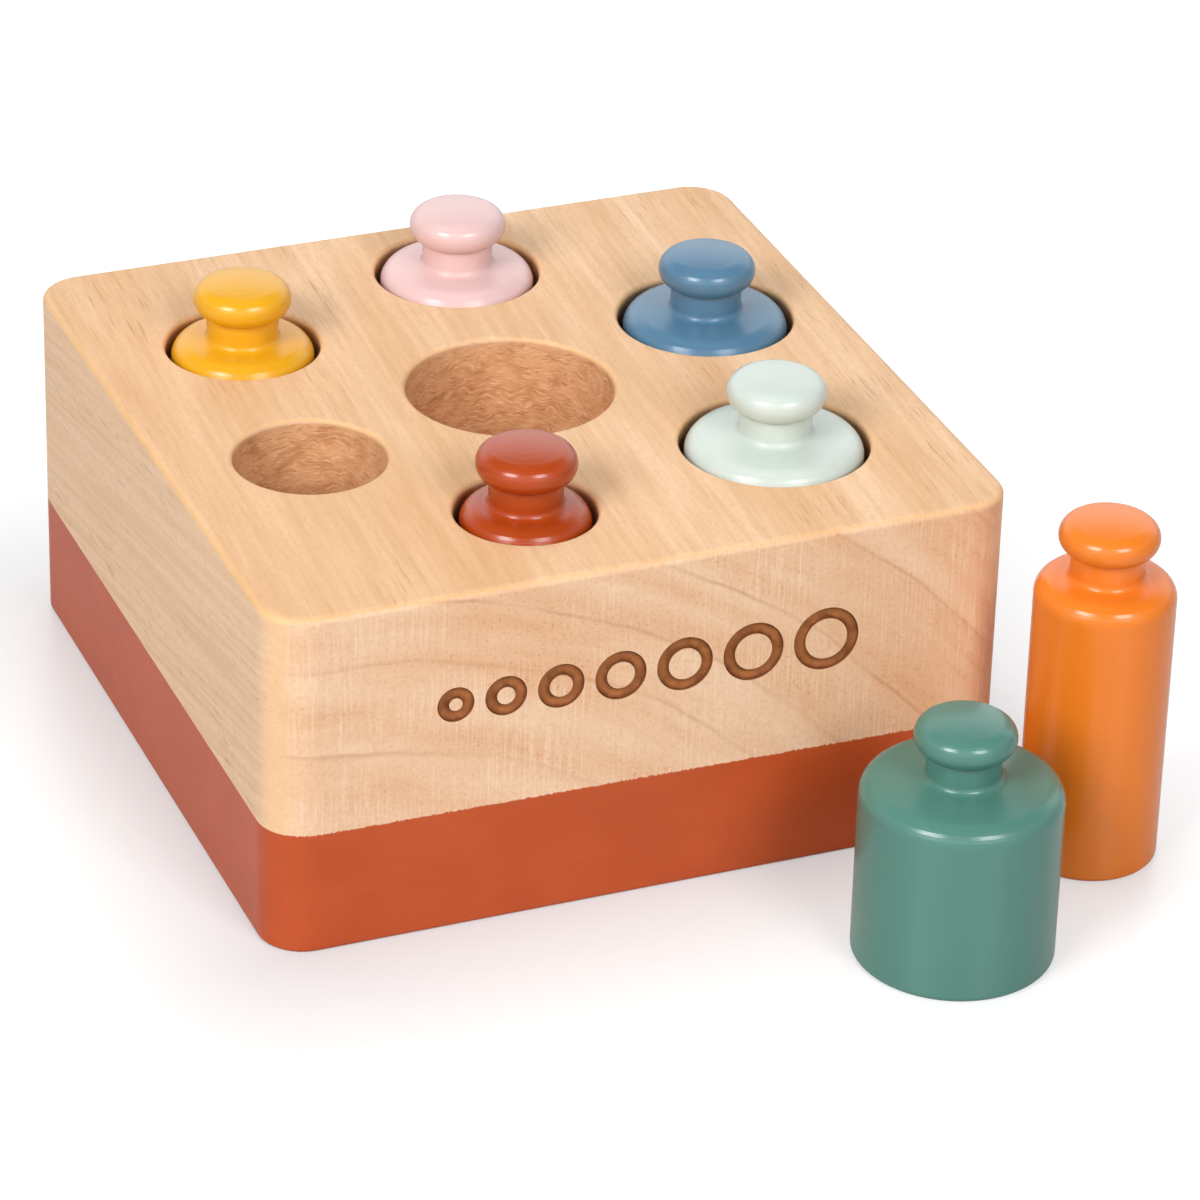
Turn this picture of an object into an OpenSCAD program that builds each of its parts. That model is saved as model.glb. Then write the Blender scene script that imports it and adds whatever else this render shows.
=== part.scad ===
// Cylinder peg board: a drilled hardwood block with seven graded, knobbed pegs.
// Five pegs sit in their holes, and two stand on the table beside the block.
// The origin is the middle of the block's underside, +Z is up and -Y is the front.

/* [Pegs] */
// Diameter of the rust peg's body
rust_d = 25.3; // [24:0.1:30]
// Diameter of the orange peg's body
orange_d = 27.4; // [25:0.1:32]
// Diameter of the yellow peg's body
yellow_d = 28.5; // [26:0.1:34]
// Diameter of the pink peg's body
pink_d = 31.3; // [28:0.1:36]
// Diameter of the blue peg's body
blue_d = 33.2; // [30:0.1:38]
// Diameter of the mint peg's body
mint_d = 35; // [32:0.1:40]
// Diameter of the green peg's body
green_d = 38.8; // [36:0.1:45]
// Height of the tallest peg's body, from its foot to the edge of its shoulder
tall_body_h = 64.8; // [52:0.1:80]
// How much shorter each peg's body is than the one before it
body_h_step = 4.6; // [2:0.1:5.5]
// Rounding of the shoulder's edge
shoulder_r = 3.8; // [1.5:0.1:4]
// Slope of the shoulder, up to the neck
shoulder_slope = 6; // [0:1:12]
// Rounding of the foot's edge
foot_r = 1.2; // [0.5:0.1:2]

/* [Knobs] */
// Diameter of the knob at its widest
knob_d = 19.5; // [17:0.5:22]
// Rounding of the knob's rim
knob_rim_r = 3.2; // [2.8:0.1:4]
// How far the crown of the knob rises above its rim
knob_crown = 0.5; // [0.3:0.1:1]
// Height of the knob's widest line above the foot of the neck
knob_mid_h = 8.7; // [7:0.1:14]
// Diameter of the neck under the knob
neck_d = 14.3; // [12:0.1:16]
// Radius of the hollow curve at the foot of the neck
cove_r = 1.4; // [0.6:0.1:1.8]

/* [Block] */
// Wood left between the outermost hole and the side of the block
edge_wall = 5.8; // [4:0.1:15]
// Wood left under the deepest hole
floor_t = 8.4; // [6:0.1:30]
// Radius of the upright corners
corner_r = 9; // [4:0.5:14]
// Rounding of the top edges
top_edge_r = 1.5; // [0.5:0.1:3]
// Rounding of the bottom edges
bottom_edge_r = 1; // [0.5:0.1:3]
// Height of the painted part
paint_h = 25.5; // [15:0.5:35]

/* [Holes] */
// Gap all round between a peg and its hole
peg_gap = 1.2; // [0.3:0.1:1.5]
// How far the shoulder of a seated peg stands above the top of the block
peg_proud = 1.2; // [0:0.1:3]
// Rounding of the rim of a hole
rim_r = 1; // [0.5:0.1:2]
// Wood left between the middle hole and the widest hole of the ring
middle_web = 13.2; // [8:0.1:25]
// Bearing of the first hole of the ring, turning left from +X
ring_bearing = 18; // [10:1:25]
// How far the middle hole was drilled off its mark, in X and Y
middle_off = [0.1, 0.3]; // [-5:0.1:5]
// How far the orange peg's hole was drilled off its mark, in X and Y
orange_off = [3.3, 1.5]; // [-5:0.1:5]
// How far the rust peg's hole was drilled off its mark, in X and Y
rust_off = [-4.3, 3.4]; // [-5:0.1:5]
// How far the yellow peg's hole was drilled off its mark, in X and Y
yellow_off = [-4.6, -0.5]; // [-5:0.1:5]
// How far the pink peg's hole was drilled off its mark, in X and Y
pink_off = [-2.6, 0.8]; // [-5:0.1:5]
// How far the blue peg's hole was drilled off its mark, in X and Y
blue_off = [-1.5, 0.4]; // [-5:0.1:5]
// How far the mint peg's hole was drilled off its mark, in X and Y
mint_off = [1.3, -2.5]; // [-5:0.1:5]

/* [Engraved rings] */
// Diameter of the smallest ring, along the middle of its groove
ring_d = 5; // [4:0.5:8]
// How much wider each ring is than the one before it
ring_d_step = 1; // [0.5:0.1:1.5]
// Width of the groove, which is half as deep
groove_w = 2.4; // [1:0.1:3]
// Bare wood between two rings
ring_gap = 2.1; // [1:0.1:5]

/* [Loose pegs] */
// Space between the green peg and the front of the block
green_gap = 18.9; // [5:0.1:40]
// Place of the green peg along the front of the block, from its middle
green_x = 47.5; // [0:0.5:60]
// Space between the orange peg and the block's front right corner
orange_gap = 8.7; // [5:0.1:40]
// Bearing of the orange peg from that corner
orange_bearing = -47; // [-80:1:-10]

/* [Hidden] */

$fn = 96;

// Pegs run from the thinnest to the thickest, and each is shorter than the one before it.
PEGS = ["rust", "orange", "yellow", "pink", "blue", "mint", "green"];
diameters = [rust_d, orange_d, yellow_d, pink_d, blue_d, mint_d, green_d];
offsets = [rust_off, orange_off, yellow_off, pink_off, blue_off, mint_off, middle_off];
function rank(name) = search([name], PEGS)[0];
function peg_d(name) = diameters[rank(name)];
function body_h(name) = tall_body_h - rank(name) * body_h_step;
function hole_r(name) = peg_d(name) / 2 + peg_gap;
function hole_h(name) = body_h(name) - peg_proud;

// The widest peg's hole is in the middle and the others lie round it on a ring.
RING = ["blue", "pink", "yellow", "orange", "rust", "mint"];
ring_r = hole_r("green") + middle_web + hole_r("mint");
function bearing(name) = ring_bearing + search([name], RING)[0] * 360 / len(RING);
function mark(name) = name == "green" ? [0, 0] : ring_r * [cos(bearing(name)), sin(bearing(name))];
function hole_at(name) = mark(name) + offsets[rank(name)];

// The block is square, as high as its holes need, and as wide, to the next whole millimetre.
function reach(name) = max(abs(hole_at(name).x), abs(hole_at(name).y)) + hole_r(name);
block_w = ceil(2 * (max([for (name = PEGS) reach(name)]) + edge_wall));
block_half = block_w / 2;
block_h = hole_h("rust") + floor_t;
corner_at = block_half - corner_r;

// The loose pegs stand clear of the block by their own gaps.
green_at = [green_x, -(block_half + green_gap + green_d / 2)];
orange_reach = corner_r + orange_gap + orange_d / 2;
orange_at = [corner_at, -corner_at] + orange_reach * [cos(orange_bearing), sin(orange_bearing)];

// One round stretch of an outline, from one angle to another in equal steps.
STEP_ANGLE = 11.25;
LEAST_STEPS = 4;
function arc(at, r, from, to) =
    let (steps = ceil(max(LEAST_STEPS, abs(to - from) / STEP_ANGLE)))
    let (step = (to - from) / steps)
    [for (i = [0 : steps]) at + r * [cos(from + i * step), sin(from + i * step)]];

// Turned peg with its foot at z = 0: cylinder, sloping shoulder with a rounded edge, neck and mushroom knob.
module peg(name) {
    r = peg_d(name) / 2;
    h = body_h(name);
    neck_r = neck_d / 2;
    neck_foot_r = neck_r + cove_r;
    shoulder = min(shoulder_r, r - neck_foot_r);
    shoulder_at = [r - shoulder, h - shoulder];
    cone_rise = (r - shoulder - neck_foot_r) * sin(shoulder_slope);
    cove_rise = (shoulder + cove_r + cone_rise) / cos(shoulder_slope);
    cove_at = [neck_foot_r, shoulder_at.y + cove_rise];
    rim_at = [knob_d / 2 - knob_rim_r, cove_at.y - cove_r + knob_mid_h];
    top = knob_rim_r + knob_crown;
    crown_r = (rim_at.x ^ 2 + top ^ 2 - knob_rim_r ^ 2) / (2 * knob_crown);
    crown_at = [0, rim_at.y + top - crown_r];
    crown_angle = acos(rim_at.x / (crown_r - knob_rim_r));
    under_angle = -acos((neck_r - rim_at.x) / knob_rim_r);
    rotate_extrude()
        polygon(concat(
            [[0, 0]],
            arc([r - foot_r, foot_r], foot_r, -90, 0),
            arc(shoulder_at, shoulder, 0, 90 - shoulder_slope),
            arc(cove_at, cove_r, -90 - shoulder_slope, -180),
            arc(rim_at, knob_rim_r, under_angle, crown_angle),
            arc(crown_at, crown_r, crown_angle, 90)
        ));
}

// Peg standing on the floor of its hole, with its shoulder just above the top of the block.
module seated_peg(name) {
    translate([hole_at(name).x, hole_at(name).y, block_h - hole_h(name)])
        peg(name);
}

// Outline of the block's edge from its inside to its face, between two heights.
module edge_outline(low, high, low_r, high_r) {
    polygon(concat(
        [[0, low]],
        low_r > 0 ? arc([corner_r - low_r, low + low_r], low_r, -90, 0) : [[corner_r, low]],
        high_r > 0 ? arc([corner_r - high_r, high - high_r], high_r, 0, 90) : [[corner_r, high]],
        [[0, high]]
    ));
}

// Undrilled layer of the block: a square core, with the same edge along its sides and round its corners.
module blank(low, high, low_r, high_r) {
    translate([-corner_at, -corner_at, low])
        cube([2 * corner_at, 2 * corner_at, high - low]);
    for (side = [0 : 3])
        rotate(side * 90) {
            translate([corner_at, 0, 0])
                rotate([90, 0, 0])
                    linear_extrude(2 * corner_at, center = true)
                        edge_outline(low, high, low_r, high_r);
            translate([corner_at, corner_at, 0])
                rotate_extrude(angle = 90)
                    edge_outline(low, high, low_r, high_r);
        }
}

// Room for one peg: a flat-bottomed hole with a rounded rim.
module hole(name) {
    r = hole_r(name);
    above = rim_r;
    translate([hole_at(name).x, hole_at(name).y, block_h])
        rotate_extrude()
            polygon(concat(
                [[0, -hole_h(name)], [r, -hole_h(name)]],
                arc([r + rim_r, -rim_r], rim_r, 180, 90),
                [[r + rim_r, above], [0, above]]
            ));
}

module holes() {
    for (name = PEGS)
        hole(name);
}

// Row of round grooves on the front, one for each peg and growing with it.
module engraved_rings() {
    last = len(PEGS) - 1;
    function groove_d(i) = ring_d + i * ring_d_step;
    function pitch(i) = (groove_d(i - 1) + groove_d(i)) / 2 + groove_w + ring_gap;
    function pitch_to(i) = i == 0 ? 0 : pitch_to(i - 1) + pitch(i);
    row_w = pitch_to(last) + (groove_d(last) - groove_d(0)) / 2;
    for (i = [0 : last])
        translate([pitch_to(i) - row_w / 2, -block_half, (paint_h + block_h) / 2])
            rotate([90, 0, 0])
                rotate_extrude()
                    translate([groove_d(i) / 2, 0])
                        circle(d = groove_w);
}

// Solid hardwood block, bare above the paint line and painted below it.
module block() {
    color("#EBC396")
        difference() {
            blank(paint_h, block_h, 0, top_edge_r);
            holes();
            engraved_rings();
        }
    color("#C15A35")
        difference() {
            blank(0, paint_h, bottom_edge_r, 0);
            holes();
        }
}

module peg_orange() {
    color("#E27D30")
        translate([orange_at.x, orange_at.y, 0])
            peg("orange");
}

module peg_rust() {
    color("#BE4A26")
        seated_peg("rust");
}

module peg_yellow() {
    color("#F6B32F")
        seated_peg("yellow");
}

module peg_pink() {
    color("#F1CDCE")
        seated_peg("pink");
}

module peg_blue() {
    color("#5E86A8")
        seated_peg("blue");
}

module peg_mint() {
    color("#DCE7DE")
        seated_peg("mint");
}

module peg_green() {
    color("#5F9A87")
        translate([green_at.x, green_at.y, 0])
            peg("green");
}

block();
peg_orange();
peg_rust();
peg_yellow();
peg_pink();
peg_blue();
peg_mint();
peg_green();
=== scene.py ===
import math
from functools import partial

import bpy
from mathutils import Matrix, Vector


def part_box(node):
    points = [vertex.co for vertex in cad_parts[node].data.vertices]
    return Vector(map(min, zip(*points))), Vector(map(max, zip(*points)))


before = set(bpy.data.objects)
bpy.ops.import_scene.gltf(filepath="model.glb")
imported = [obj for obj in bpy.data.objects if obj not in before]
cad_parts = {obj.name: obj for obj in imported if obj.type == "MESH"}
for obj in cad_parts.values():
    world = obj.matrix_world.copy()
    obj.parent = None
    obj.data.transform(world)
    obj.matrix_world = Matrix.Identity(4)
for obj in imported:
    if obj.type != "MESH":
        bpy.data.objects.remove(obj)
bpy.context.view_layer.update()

# Block
# One square piece of pale beech, drilled from above, with its upright corners and its edges rounded over.
# It is sanded and oiled, the cutter scorched the rings on its front, and its foot is painted terracotta.

MM = 0.001


def linear(hex_code):
    """Turns an sRGB hex colour to the linear colour that a shader takes."""
    channels = [int(hex_code[i:i + 2], 16) / 255 for i in (1, 3, 5)]
    return [c / 12.92 if c <= 0.04045 else ((c + 0.055) / 1.055) ** 2.4 for c in channels] + [1]


def add_node(tree, kind, inputs, **settings):
    """Adds a shader node with its settings, and feeds its inputs from values, nodes or sockets."""
    made = tree.nodes.new("ShaderNode" + kind)
    for name, value in settings.items():
        setattr(made, name, value)
    for name, value in inputs.items():
        socket = next((s for s in made.inputs if s.enabled and s.name == name), None) or made.inputs[name]
        if isinstance(value, bpy.types.Node):
            value = next(s for s in value.outputs if s.enabled)
        if isinstance(value, bpy.types.NodeSocket):
            tree.links.new(value, socket)
        else:
            socket.default_value = value
    return made


block_low, block_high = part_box("block")
half_w = block_high.x / MM
block_h = block_high.z / MM

# Beech, sanded and oiled: honey streaks and a few brown dashes on the long grain; pale, pinker end grain
# with thin growth rings, specks and saw marks; a dull sheen; and fuzzy, rougher fibres where the drill tore
# the holes. Lengths in its patterns are in millimetres.
beech = bpy.data.materials.new("beech_oiled_with_painted_foot")
beech.use_nodes = True
beech.node_tree.nodes.clear()
add = partial(add_node, beech.node_tree)
coords = add("TexCoord", {})
place = add("Mapping", {"Vector": coords.outputs["Object"], "Scale": (1 / MM,) * 3})
x, y, z = add("SeparateXYZ", {"Vector": place}).outputs
facing_x, facing_y, facing_z = add("SeparateXYZ", {"Vector": coords.outputs["Normal"]}).outputs

# The grain runs from front to back, slanting a little, round a pith below the block's left side. The trunk
# tapered, so that the lines on the left and right sides rise towards the front.
GRAIN_SLANT = math.radians(3)
GRAIN_RISE = math.radians(2)
SIDE_RISE = math.radians(10)
PITH_X, PITH_Z = -66.9, -81.6
grain = add("Mapping", {
    "Vector": coords.outputs["Object"], "Location": (-PITH_X, 0, -PITH_Z),
    "Rotation": (GRAIN_RISE, 0, GRAIN_SLANT), "Scale": (1 / MM,) * 3})
side_grain = add("Mapping", {
    "Vector": coords.outputs["Object"], "Rotation": (SIDE_RISE, 0, 0), "Scale": (1 / MM,) * 3})

# End grain shows where the surface faces the front or the back, and side grain on the left and right.
end_grain = add("MapRange", {
    "Value": add("Math", {0: facing_y}, operation="ABSOLUTE"),
    "From Min": 0.6, "From Max": 0.98}, interpolation_type="SMOOTHSTEP")
on_side = add("MapRange", {
    "Value": add("Math", {0: facing_x}, operation="ABSOLUTE"), "From Min": 0.7, "From Max": 0.95})
both_ways = add("Math", {0: facing_x, 1: facing_y}, operation="MULTIPLY")
corner_sheen_mask = add("MapRange", {
    "Value": add("Math", {0: both_ways}, operation="ABSOLUTE"), "From Min": 0.1, "From Max": 0.4})
tilted = add("Math", {0: 1, 1: facing_z}, operation="SUBTRACT")
at_edge = add("MapRange", {
    "Value": add("Math", {0: tilted, 1: facing_z}, operation="MULTIPLY"),
    "From Min": 0.07, "From Max": 0.2, "To Max": 0.5})

# Drilled walls are the only surface that lies well inside the block, below the rounded rims of the holes.
WELL_INSIDE = 4
RIM_FADE_FROM, RIM_FADE_TO = 0.3, 1.6
off_middle_x = add("Math", {0: x}, operation="ABSOLUTE")
off_middle_y = add("Math", {0: y}, operation="ABSOLUTE")
inside_x = add("Math", {0: off_middle_x, 1: half_w - WELL_INSIDE}, operation="LESS_THAN")
inside_y = add("Math", {0: off_middle_y, 1: half_w - WELL_INSIDE}, operation="LESS_THAN")
below_rim = add("MapRange", {
    "Value": z, "From Min": block_h - RIM_FADE_FROM, "From Max": block_h - RIM_FADE_TO})
above_foot = add("Math", {0: z, 1: WELL_INSIDE}, operation="GREATER_THAN")
drilled = add("Math", {
    0: add("Math", {0: inside_x, 1: inside_y}, operation="MULTIPLY"),
    1: add("Math", {0: below_rim, 1: above_foot}, operation="MULTIPLY")}, operation="MULTIPLY")

# Long grain: broad bands that are more golden at the left, fine streaks, a mealy mottle, and brown dashes
# that gather in places. The sanded edges took more oil. Painted light makes the left and right sides paler,
# and a painted sheen makes the upright corners paler.
PALER_WAY = (1, 0.3, 0)
SIDE_PAINTED_LIGHT = 0.65
CORNER_PAINTED_SHEEN = 0.45
bands = add("TexNoise", {
    "Vector": add("Mapping", {"Vector": grain, "Scale": (1 / 11, 1 / 110, 1 / 11)}),
    "Scale": 1, "Detail": 2})
top_streaks = add("TexNoise", {
    "Vector": add("Mapping", {"Vector": grain, "Scale": (1 / 1.8, 1 / 40, 1 / 1.8)}),
    "Scale": 1, "Detail": 5, "Roughness": 0.65})
side_streaks = add("TexNoise", {
    "Vector": add("Mapping", {"Vector": side_grain, "Scale": (1 / 9, 1 / 70, 1 / 1.3)}),
    "Scale": 1, "Detail": 3})
streaks = add("Mix", {"Factor": on_side, "A": top_streaks, "B": side_streaks})
mealy = add("TexNoise", {
    "Vector": add("Mapping", {"Vector": grain, "Scale": (1 / 0.8, 1 / 1.6, 1 / 0.8)}),
    "Scale": 1, "Detail": 3})
dashes = add("TexNoise", {
    "Vector": add("Mapping", {"Vector": grain, "Scale": (1 / 0.5, 1 / 15, 1 / 0.5)}),
    "Scale": 1, "Detail": 1})
gathered = add("TexNoise", {
    "Vector": add("Mapping", {"Vector": grain, "Scale": (1 / 20, 1 / 90, 1 / 20)}),
    "Scale": 1, "Detail": 1})
dash = add("Math", {
    0: add("MapRange", {"Value": dashes, "From Min": 0.6, "From Max": 0.74, "To Max": 0.42}),
    1: add("MapRange", {"Value": gathered, "From Min": 0.44, "From Max": 0.62})}, operation="MULTIPLY")
banded = add("Mix", {
    "Factor": add("MapRange", {"Value": bands, "From Min": 0.36, "From Max": 0.64}),
    "A": linear("#F5D1AD"), "B": linear("#E9BE95")}, data_type="RGBA")
along_paler = add("VectorMath", {0: place, 1: PALER_WAY}, operation="DOT_PRODUCT").outputs["Value"]
warmth = add("MapRange", {
    "Value": along_paler, "From Min": -half_w, "From Max": half_w, "To Min": 0.4, "To Max": 0})
warmer = add("Mix", {"Factor": warmth, "A": banded, "B": linear("#E3B07A")}, data_type="RGBA")
# Painted light: the left and right sides are mixed towards a paler colour.
side_painted_paler = add("Mix", {
    "Factor": add("Math", {0: on_side, 1: SIDE_PAINTED_LIGHT}, operation="MULTIPLY"),
    "A": warmer, "B": linear("#F7D4B2")}, data_type="RGBA")
streak_depth = add("MapRange", {"Value": on_side, "To Min": 0.56, "To Max": 0.36})
streaked = add("Mix", {
    "Factor": add("MapRange", {
        "Value": streaks, "From Min": 0.38, "From Max": 0.78, "To Max": streak_depth}),
    "A": side_painted_paler, "B": linear("#CD9A68")}, data_type="RGBA")
mottled = add("Mix", {
    "Factor": add("MapRange", {"Value": mealy, "From Min": 0.45, "From Max": 0.75, "To Max": 0.3}),
    "A": streaked, "B": linear("#D2A677")}, data_type="RGBA")
dashed = add("Mix", {"Factor": dash, "A": mottled, "B": linear("#A66F3F")}, data_type="RGBA")
golden = add("Mix", {"Factor": at_edge, "A": dashed, "B": linear("#EFBC7C")}, data_type="RGBA")
# Painted sheen: the upright corners are mixed towards a paler colour.
long_wood = add("Mix", {
    "Factor": add("Math", {0: corner_sheen_mask, 1: CORNER_PAINTED_SHEEN}, operation="MULTIPLY"),
    "A": golden, "B": linear("#F9CC9A")}, data_type="RGBA")

# Growth rings: thin uneven lines of late wood, at the distances from the pith that the front shows. Each
# darkens slowly and ends sharply, outwards.
RING_RADII = (86, 104, 121.5, 140.7, 152.8, 166.9, 185.7, 203)
RING_PROFILE = ((-0.8, 0), (0, 1), (0.25, 0))
RING_MIN, RING_MAX = 70, 220
RING_WANDER = 7
ring_wander = add("TexNoise", {
    "Vector": add("Mapping", {"Vector": grain, "Scale": (1 / 40, 1 / 200, 1 / 40)}),
    "Scale": 1, "Detail": 3})
across_grain = add("Mapping", {"Vector": grain, "Scale": (1, 0, 1)})
ring_radius = add("VectorMath", {0: across_grain}, operation="LENGTH")
ring_place = add("Math", {0: ring_wander, 1: RING_WANDER, 2: ring_radius}, operation="MULTIPLY_ADD")
ring_lines = add("ValToRGB", {"Fac": add("MapRange", {
    "Value": ring_place, "From Min": RING_MIN, "From Max": RING_MAX})})
stops = ring_lines.color_ramp.elements
stops[1].color = (0, 0, 0, 1)
for ring in RING_RADII:
    for shift, dark in RING_PROFILE:
        stop = stops.new((ring + RING_WANDER / 2 + shift - RING_MIN) / (RING_MAX - RING_MIN))
        stop.color = (dark, dark, dark, 1)
ring_strength = add("TexNoise", {
    "Vector": add("Mapping", {"Vector": grain, "Scale": (1 / 16, 1 / 60, 1 / 16)}),
    "Scale": 1, "Detail": 2})
ring_share = add("MapRange", {
    "Value": ring_strength, "From Min": 0.35, "From Max": 0.65, "To Min": 0.08, "To Max": 0.46})
ring_line = add("Math", {0: ring_lines, 1: ring_share}, operation="MULTIPLY")

# End grain: stains that follow the rings, with painted shade and a painted reflection of the orange peg that
# darken it towards the right end, specks of cut pores, and upright marks of the saw.
STAIN_W, STAIN_L = 7, 45
RIGHT_SHADE_FROM = 30
stain = add("TexNoise", {
    "Vector": add("CombineXYZ", {
        "X": add("Math", {0: ring_place, 1: 1 / STAIN_W}, operation="MULTIPLY"),
        "Y": add("Math", {0: x, 1: 1 / STAIN_L}, operation="MULTIPLY")}),
    "Scale": 1, "Detail": 3})
specks = add("TexNoise", {
    "Vector": add("Mapping", {"Vector": grain, "Scale": (1 / 0.8, 1 / 20, 1 / 0.6)}),
    "Scale": 1, "Detail": 2})
speck = add("Math", {
    0: add("MapRange", {"Value": specks, "From Min": 0.58, "From Max": 0.74, "To Max": 0.75}),
    1: add("MapRange", {"Value": stain, "From Min": 0.4, "From Max": 0.66})}, operation="MULTIPLY")
saw = add("TexNoise", {
    "Vector": add("Mapping", {"Vector": place, "Scale": (1 / 0.55, 0, 1 / 14)}),
    "Scale": 1, "Detail": 3})
saw_place = add("TexNoise", {
    "Vector": add("Mapping", {"Vector": place, "Scale": (1 / 16, 1 / 16, 1 / 12)}),
    "Scale": 1, "Detail": 2})
saw_share = add("MapRange", {"Value": saw_place, "From Min": 0.4, "From Max": 0.62, "To Min": 0.2})
sawing = add("Math", {
    0: add("MapRange", {"Value": saw, "From Min": 0.46, "From Max": 0.74, "To Max": 0.75}),
    1: saw_share}, operation="MULTIPLY")
# Painted shade and painted reflection: the stains grow denser towards the right end.
right_end_painted_shade = add("MapRange", {
    "Value": x, "From Min": RIGHT_SHADE_FROM, "From Max": half_w, "To Max": 0.16})
stained = add("Mix", {
    "Factor": add("MapRange", {
        "Value": add("Math", {0: stain, 1: right_end_painted_shade}, operation="ADD"),
        "From Min": 0.34, "From Max": 0.74}),
    "A": linear("#F0CBA9"), "B": linear("#E3AF85")}, data_type="RGBA")
sawn = add("Mix", {"Factor": sawing, "A": stained, "B": linear("#FADCC0")}, data_type="RGBA")
speckled = add("Mix", {"Factor": speck, "A": sawn, "B": linear("#C58A5E")}, data_type="RGBA")
mealy_end = add("Mix", {
    "Factor": add("MapRange", {"Value": mealy, "From Min": 0.45, "From Max": 0.75, "To Max": 0.35}),
    "A": speckled, "B": linear("#D69F76")}, data_type="RGBA")
end_wood = add("Mix", {"Factor": ring_line, "A": mealy_end, "B": linear("#A85A22")}, data_type="RGBA")
wood = add("Mix", {"Factor": end_grain, "A": long_wood, "B": end_wood}, data_type="RGBA")

# Drilled walls: warm torn wood in brown patches, with painted shade that darkens them with depth, and fine
# pale fibres that curl and dark scratches between them.
CURL_BEND = 4
PATCH_TILT = 0.3
DARKER_FROM, DARKEST_AT = 2, 30
curls = add("TexNoise", {
    "Vector": add("Mapping", {"Vector": place, "Scale": (1 / 4,) * 3}), "Scale": 1, "Detail": 1})
curled = add("VectorMath", {
    0: curls.outputs["Color"], 1: (CURL_BEND,) * 3, 2: place}, operation="MULTIPLY_ADD")
hairs = add("TexNoise", {
    "Vector": add("Mapping", {"Vector": curled, "Scale": (1 / 2.2, 1 / 2.2, 1 / 0.32)}),
    "Scale": 1, "Detail": 1})
fibre = add("MapRange", {"Value": hairs, "From Min": 0.54, "From Max": 0.72, "To Max": 0.6})
scratch = add("MapRange", {"Value": hairs, "From Min": 0.44, "From Max": 0.26, "To Max": 0.45})
patches = add("TexNoise", {
    "Vector": add("Mapping", {
        "Vector": place, "Rotation": (PATCH_TILT, PATCH_TILT, 0), "Scale": (1 / 5, 1 / 5, 1 / 4)}),
    "Scale": 1, "Detail": 5})
patch = add("MapRange", {"Value": patches, "From Min": 0.42, "From Max": 0.66, "To Max": 0.55})
# Painted shade: the wall's colour darkens with depth below the top.
depth_painted_shade = add("MapRange", {
    "Value": z, "From Min": block_h - DARKER_FROM, "From Max": block_h - DARKEST_AT, "To Max": 0.4})
warm_with_depth_shade = add("Mix", {"Factor": depth_painted_shade, "A": linear("#E3AD7E"), "B": linear("#C48A58")}, data_type="RGBA")
patchy = add("Mix", {"Factor": patch, "A": warm_with_depth_shade, "B": linear("#B97744")}, data_type="RGBA")
scratched = add("Mix", {"Factor": scratch, "A": patchy, "B": linear("#94572B")}, data_type="RGBA")
torn = add("Mix", {"Factor": fibre, "A": scratched, "B": linear("#EFCBA3")}, data_type="RGBA")

# Painted shade: the wall's colour is darkened to dark brown in the narrow gap round a seated peg. This goes
# by how near the peg is, so that the wall is pale again once the peg is lifted.
GAP_REACH = 3 * MM
airy = add("AmbientOcclusion", {"Distance": GAP_REACH}, samples=8).outputs["AO"]
free_of_gap_shade = add("MapRange", {"Value": airy, "From Min": 0.16, "From Max": 0.5})
bored_with_gap_shade = add("Mix", {"Factor": free_of_gap_shade, "A": linear("#70452A"), "B": torn}, data_type="RGBA")
drilled_wood = add("Mix", {"Factor": drilled, "A": wood, "B": bored_with_gap_shade}, data_type="RGBA")

# Scorched grooves: the hot cutter left dark walls and a lighter, unevenly burnt floor.
GROOVES_LOW, GROOVES_HIGH, GROOVES_REACH = 38, 60, 46
BURN_SPOT = 2.2
BURN_UNEVENNESS = 1.4
groove_depth = add("Math", {0: y, 1: half_w}, operation="ADD")
across = add("Math", {0: off_middle_x, 1: GROOVES_REACH}, operation="LESS_THAN")
over = add("Math", {0: z, 1: GROOVES_LOW}, operation="GREATER_THAN")
under = add("Math", {0: z, 1: GROOVES_HIGH}, operation="LESS_THAN")
in_front = add("Math", {0: y, 1: WELL_INSIDE - half_w}, operation="LESS_THAN")
near_groove = add("Math", {
    0: add("Math", {0: across, 1: in_front}, operation="MULTIPLY"),
    1: add("Math", {0: over, 1: under}, operation="MULTIPLY")}, operation="MULTIPLY")
scorched = add("Math", {
    0: add("MapRange", {"Value": groove_depth, "From Min": 0.02, "From Max": 0.2}),
    1: near_groove}, operation="MULTIPLY")
burns = add("TexNoise", {
    "Vector": add("Mapping", {"Vector": place, "Scale": (1 / BURN_SPOT,) * 3}), "Scale": 1, "Detail": 3})
burnt = add("Math", {0: burns, 1: BURN_UNEVENNESS, 2: groove_depth}, operation="MULTIPLY_ADD")
scorch = add("Mix", {
    "Factor": add("MapRange", {"Value": burnt, "From Min": 1.2, "From Max": 1.95}),
    "A": linear("#6F3A18"), "B": linear("#AC6B3C")}, data_type="RGBA")
engraved = add("Mix", {"Factor": scorched, "A": drilled_wood, "B": scorch}, data_type="RGBA")

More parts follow.
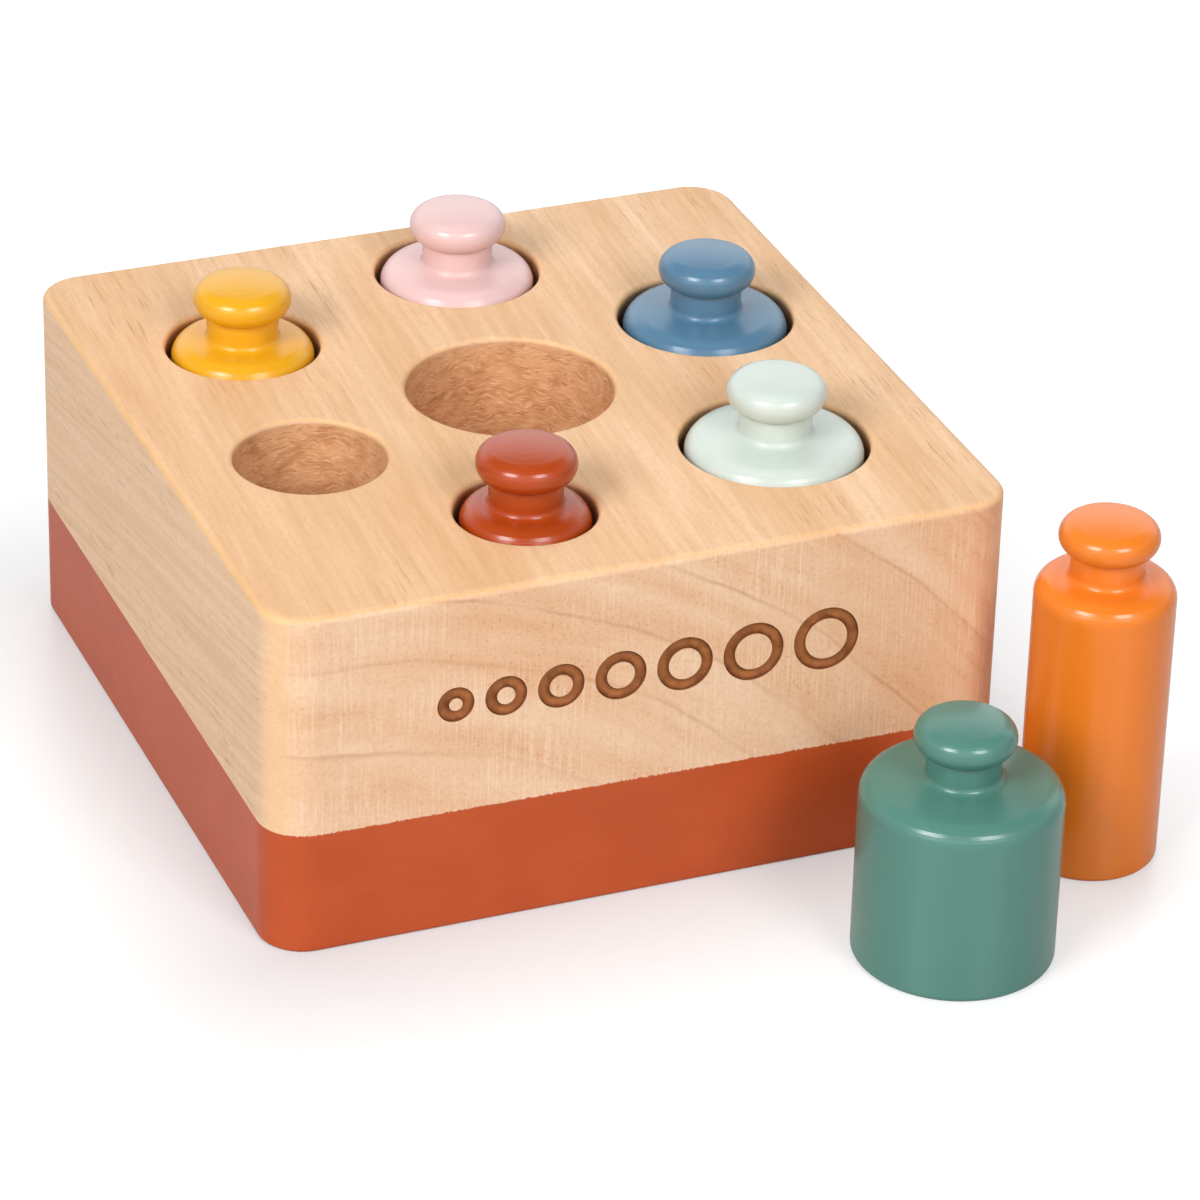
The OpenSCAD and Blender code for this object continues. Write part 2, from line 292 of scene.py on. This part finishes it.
# Terracotta paint covers the foot outside the holes. Its line was masked by hand, so that it falls a little
# towards the right, and it creeps up in tiny teeth along the end grain.
PAINT_H = 25.5
PAINT_FALL = 0.0075
PAINT_BLUR = 0.1
TOOTH_H = 0.5
teeth = add("TexNoise", {
    "Vector": add("Mapping", {"Vector": place, "Scale": (1 / 0.45, 1 / 30, 0)}), "Scale": 1, "Detail": 4})
tooth = add("Math", {
    0: add("MapRange", {"Value": teeth, "From Min": 0.4, "From Max": 0.8, "To Max": TOOTH_H}),
    1: end_grain}, operation="MULTIPLY")
level = add("Math", {
    0: x, 1: -PAINT_FALL, 2: PAINT_H - PAINT_FALL * half_w / 2}, operation="MULTIPLY_ADD")
paint_edge = add("Math", {0: tooth, 1: level}, operation="ADD")
under_edge = add("MapRange", {
    "Value": add("Math", {0: z, 1: paint_edge}, operation="SUBTRACT"),
    "From Min": PAINT_BLUR, "From Max": -PAINT_BLUR})
undrilled = add("Math", {0: 1, 1: drilled}, operation="SUBTRACT")
painted = add("Math", {0: under_edge, 1: undrilled}, operation="MULTIPLY")
clouds = add("TexNoise", {
    "Vector": add("Mapping", {"Vector": place, "Scale": (1 / 14, 1 / 14, 1 / 9)}),
    "Scale": 1, "Detail": 4})
terracotta = add("Mix", {
    "Factor": add("MapRange", {"Value": clouds, "From Min": 0.35, "From Max": 0.65}),
    "A": linear("#BB4E22"), "B": linear("#C15326")}, data_type="RGBA")
finished = add("Mix", {"Factor": painted, "A": engraved, "B": terracotta}, data_type="RGBA")

# Bare wood is duller than the paint, and the torn holes and grooves are the dullest.
TORN_ROUGHNESS = 0.75
PAINT_ROUGHNESS = 0.36
bare_roughness = add("MapRange", {
    "Value": streaks, "From Min": 0.3, "From Max": 0.7, "To Min": 0.46, "To Max": 0.56})
wood_roughness = add("Mix", {
    "Factor": add("Math", {0: drilled, 1: scorched}, operation="MAXIMUM"),
    "A": bare_roughness, "B": TORN_ROUGHNESS})
roughness = add("Mix", {"Factor": painted, "A": wood_roughness, "B": PAINT_ROUGHNESS})

# The surface stands up a few hundredths of a millimetre: grain, saw marks and curled fibres, or the paint's
# skin.
GRAIN_RELIEF = 0.05 * MM
SKIN_SPOT = 1.6
grain_height = add("Mix", {"Factor": end_grain, "A": streaks, "B": saw})
torn_height = add("Mix", {"Factor": drilled, "A": grain_height, "B": fibre})
paint_skin = add("TexNoise", {
    "Vector": add("Mapping", {"Vector": place, "Scale": (1 / SKIN_SPOT,) * 3}), "Scale": 1, "Detail": 2})
height = add("Mix", {"Factor": painted, "A": torn_height, "B": paint_skin})
relief = add("Bump", {"Height": height, "Strength": 1, "Distance": GRAIN_RELIEF})
shader = add("BsdfPrincipled", {
    "Base Color": finished, "Roughness": roughness, "Normal": relief, "Specular IOR Level": 0.3})
add("OutputMaterial", {"Surface": shader})
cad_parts["block"].material_slots[0].material = beech

# Pegs
# Seven solid turned pegs, each one piece from its foot to its mushroom knob.
# They are sanded smooth and dipped in satin paint, one colour each, and stand in their holes or on the table.

PEG_COLOURS = {
    "orange": "#ED7E20", "rust": "#AC410D", "yellow": "#E7A818", "pink": "#E4C1BF",
    "blue": "#547C99", "mint": "#CCD7CF", "green": "#508276",
}
LATHE_LINES_PER_MM = 1.4
MOTTLE_TONE, GRAIN_TONE = 0.21, 0.2
LATHE_HEIGHT, GRAIN_HEIGHT = 0.35, 0.5
PEG_RELIEF = 0.03 * MM


def satin_paint(name, colour, axis):
    """Satin paint on turned wood: soft highlights, slight mottling, and faint grain and lathe lines below."""
    paint = bpy.data.materials.new(name)
    paint.use_nodes = True
    paint.node_tree.nodes.clear()
    add = partial(add_node, paint.node_tree)
    turned = add("Mapping", {
        "Vector": add("TexCoord", {}).outputs["Object"],
        "Location": (-axis.x / MM, -axis.y / MM, 0), "Scale": (1 / MM,) * 3})
    along = add("SeparateXYZ", {"Vector": turned}).outputs["Z"]
    flat = add("Mapping", {"Vector": turned, "Scale": (1, 1, 0)})
    out = add("VectorMath", {0: flat}, operation="LENGTH")
    lathe = add("TexNoise", {
        "W": add("Math", {0: along, 1: out}, operation="ADD"),
        "Scale": LATHE_LINES_PER_MM, "Detail": 2}, noise_dimensions="1D")
    grain = add("TexNoise", {
        "Vector": add("Mapping", {"Vector": turned, "Scale": (1 / 1.4, 1 / 1.4, 1 / 30)}),
        "Scale": 1, "Detail": 2})
    mottle = add("TexNoise", {
        "Vector": add("Mapping", {"Vector": turned, "Scale": (1 / 9, 1 / 9, 1 / 12)}),
        "Scale": 1, "Detail": 1})
    skin = add("TexNoise", {
        "Vector": add("Mapping", {"Vector": turned, "Scale": (1 / 3.5,) * 3}), "Scale": 1, "Detail": 3})
    grainy = add("Math", {0: grain, 1: GRAIN_TONE}, operation="MULTIPLY")
    shade = add("Math", {0: mottle, 1: MOTTLE_TONE, 2: grainy}, operation="MULTIPLY_ADD")
    tone = add("MapRange", {
        "Value": shade, "From Min": 0.105, "From Max": 0.305, "To Min": 0.975, "To Max": 1.025})
    base = add("Mix", {
        "Factor": 1, "A": linear(colour), "B": tone}, data_type="RGBA", blend_type="MULTIPLY")
    roughness = add("MapRange", {
        "Value": mottle, "From Min": 0.3, "From Max": 0.7, "To Min": 0.22, "To Max": 0.265})
    ridged = add("Math", {0: lathe, 1: LATHE_HEIGHT, 2: skin}, operation="MULTIPLY_ADD")
    height = add("Math", {0: grain, 1: GRAIN_HEIGHT, 2: ridged}, operation="MULTIPLY_ADD")
    relief = add("Bump", {"Height": height, "Strength": 1, "Distance": PEG_RELIEF})
    add("OutputMaterial", {"Surface": add("BsdfPrincipled", {
        "Base Color": base, "Roughness": roughness, "Normal": relief})})
    return paint


for colour_name, colour in PEG_COLOURS.items():
    low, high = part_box("peg_" + colour_name)
    paint = satin_paint(colour_name + "_satin_paint", colour, (low + high) / 2)
    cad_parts["peg_" + colour_name].material_slots[0].material = paint

# Studio
# A wide white table before a low white backdrop, where the object stands to be photographed.
# Softboxes stand beside the camera, and a panel hangs high behind the block.

# White laminate, pressed smooth, with a soft sheen. It glows for the camera and, less, in what mirrors it,
# so that it looks white and still takes soft shadows. It glows less beside the block than away from it, which
# paints a shade round the block.
TABLE_SIZE = 6
GLOW_IN_GLOSS = 0.35
GLOW_IN_BLOCK_SHADE, GLOW_AWAY, GLOW_REACH = 0.33, 0.66, 0.08
bpy.ops.object.select_all(action="DESELECT")
bpy.ops.mesh.primitive_plane_add(size=TABLE_SIZE, location=(0, 0, block_low.z))
table = bpy.context.object
table.name = "table"
laminate = bpy.data.materials.new("white_laminate_satin")
laminate.use_nodes = True
laminate.node_tree.nodes.clear()
add = partial(add_node, laminate.node_tree)
rays = add("LightPath", {})
seen = add("Math", {
    0: rays.outputs["Is Glossy Ray"], 1: GLOW_IN_GLOSS, 2: rays.outputs["Is Camera Ray"]},
    operation="MULTIPLY_ADD")
from_middle = add("VectorMath", {0: add("TexCoord", {}).outputs["Object"]}, operation="ABSOLUTE")
past_block = add("VectorMath", {
    0: from_middle, 1: (block_high.x, block_high.y, 0)}, operation="SUBTRACT")
away = add("VectorMath", {
    0: add("VectorMath", {0: past_block, 1: (0, 0, 0)}, operation="MAXIMUM")}, operation="LENGTH")
glow_with_painted_shade = add("MapRange", {
    "Value": away.outputs["Value"], "From Max": GLOW_REACH, "To Min": GLOW_IN_BLOCK_SHADE, "To Max": GLOW_AWAY})
add("OutputMaterial", {"Surface": add("BsdfPrincipled", {
    "Base Color": linear("#BABABB"), "Roughness": 0.35, "Specular IOR Level": 0.55,
    "Emission Color": (1, 1, 1, 1),
    "Emission Strength": add("Math", {0: glow_with_painted_shade, 1: seen}, operation="MULTIPLY")})})
table.data.materials.append(laminate)

# The camera stands where the photograph was taken from, worked out from the block's edges. Its angles are in
# degrees, and its lens is in millimetres.
CAMERA_AZIMUTH = -22.54
CAMERA_ELEVATION = 29.391
CAMERA_ROLL = 1.662
CAMERA_DISTANCE = 1.068108
CAMERA_AIM = Vector((-6.91, -65.81, 60.204)) * MM
CAMERA_LENS = 170.855


def bearing(azimuth, elevation):
    """Direction from the object to something that stands at these angles, in degrees."""
    a = math.radians(azimuth)
    e = math.radians(elevation)
    return Vector((math.sin(a) * math.cos(e), -math.cos(a) * math.cos(e), math.sin(e)))


# The camera sees plain white all round, and shadows get a faint even fill. What mirrors the room sees a white
# backdrop, behind the block and behind the place of the camera, that fades towards the table, to the sides
# and under the dim ceiling. Its shares go by elevation, in degrees.
WHITE = 1
ROOM_FILL = 0.12
ROOM_BRIGHTNESS = 1.75
ROOM_BY_ELEVATION = ((4, 0.46), (14, 1), (32, 1), (46, 0.115))
SIDE_SHARE = 0.4
world = bpy.data.worlds.new("backdrop_and_dim_ceiling")
bpy.context.scene.world = world
world.use_nodes = True
world.node_tree.nodes.clear()
add = partial(add_node, world.node_tree)
rays = add("LightPath", {})
outward = add("TexCoord", {}).outputs["Generated"]
backdrop = add("ValToRGB", {"Fac": add("SeparateXYZ", {"Vector": outward}).outputs["Z"]})
stops = backdrop.color_ramp.elements
stops.remove(stops[1])
stops[0].position = 0
stops[0].color = (ROOM_BY_ELEVATION[0][1],) * 3 + (1,)
for elevation, share in ROOM_BY_ELEVATION:
    stop = stops.new(math.sin(math.radians(elevation)))
    stop.color = (share,) * 3 + (1,)
to_backdrop = add("VectorMath", {0: outward, 1: -bearing(CAMERA_AZIMUTH, 0)}, operation="DOT_PRODUCT")
either_way = add("Math", {0: to_backdrop.outputs["Value"]}, operation="ABSOLUTE")
breadth = add("MapRange", {
    "Value": either_way, "From Min": 0.4, "From Max": 0.68,
    "To Min": SIDE_SHARE * ROOM_BRIGHTNESS, "To Max": ROOM_BRIGHTNESS})
room = add("Math", {0: backdrop, 1: breadth}, operation="MULTIPLY")
mirrored = add("Mix", {"Factor": rays.outputs["Is Glossy Ray"], "A": ROOM_FILL, "B": room})
strength = add("Mix", {"Factor": rays.outputs["Is Camera Ray"], "A": mirrored, "B": WHITE})
add("OutputWorld", {"Surface": add("Background", {"Color": (1, 1, 1, 1), "Strength": strength})})

# A small softbox stands at each side of the camera, a little above it, in the middle of a wide panel. A third
# panel hangs high behind the block. The panels soften the shadows and don't show in the paint's gloss.
LAMP_AWAY = 2.2
LAMP_ELEVATION = 36
SOFTBOX_SIZE, PANEL_SIZE = 0.8, 1.8
LEFT = CAMERA_AZIMUTH - 38
RIGHT = CAMERA_AZIMUTH + 34
BEHIND, HIGH = 175, 70
for kind, azimuth, elevation, size, watts in (
        ("softbox", LEFT, LAMP_ELEVATION, SOFTBOX_SIZE, 30), ("panel", LEFT, LAMP_ELEVATION, PANEL_SIZE, 7.5),
        ("softbox", RIGHT, LAMP_ELEVATION, SOFTBOX_SIZE, 22), ("panel", RIGHT, LAMP_ELEVATION, PANEL_SIZE, 4),
        ("panel", BEHIND, HIGH, PANEL_SIZE, 19)):
    lamp = bpy.data.lights.new(kind, "AREA")
    lamp.shape = "SQUARE"
    lamp.size = size
    lamp.energy = watts
    stand = bpy.data.objects.new(kind, lamp)
    bpy.context.collection.objects.link(stand)
    towards = bearing(azimuth, elevation)
    stand.visible_glossy = kind == "softbox"
    stand.location = CAMERA_AIM + towards * LAMP_AWAY
    stand.rotation_euler = towards.to_track_quat("Z", "Y").to_euler()

camera = bpy.data.objects.new("camera", bpy.data.cameras.new("camera"))
bpy.context.collection.objects.link(camera)
camera.data.lens = CAMERA_LENS
back = bearing(CAMERA_AZIMUTH, CAMERA_ELEVATION)
camera.matrix_world = (
    Matrix.Translation(CAMERA_AIM + back * CAMERA_DISTANCE)
    @ back.to_track_quat("Z", "Y").to_matrix().to_4x4()
    @ Matrix.Rotation(math.radians(CAMERA_ROLL), 4, "Z"))
bpy.context.scene.camera = camera
bpy.context.scene.view_settings.view_transform = "Standard"
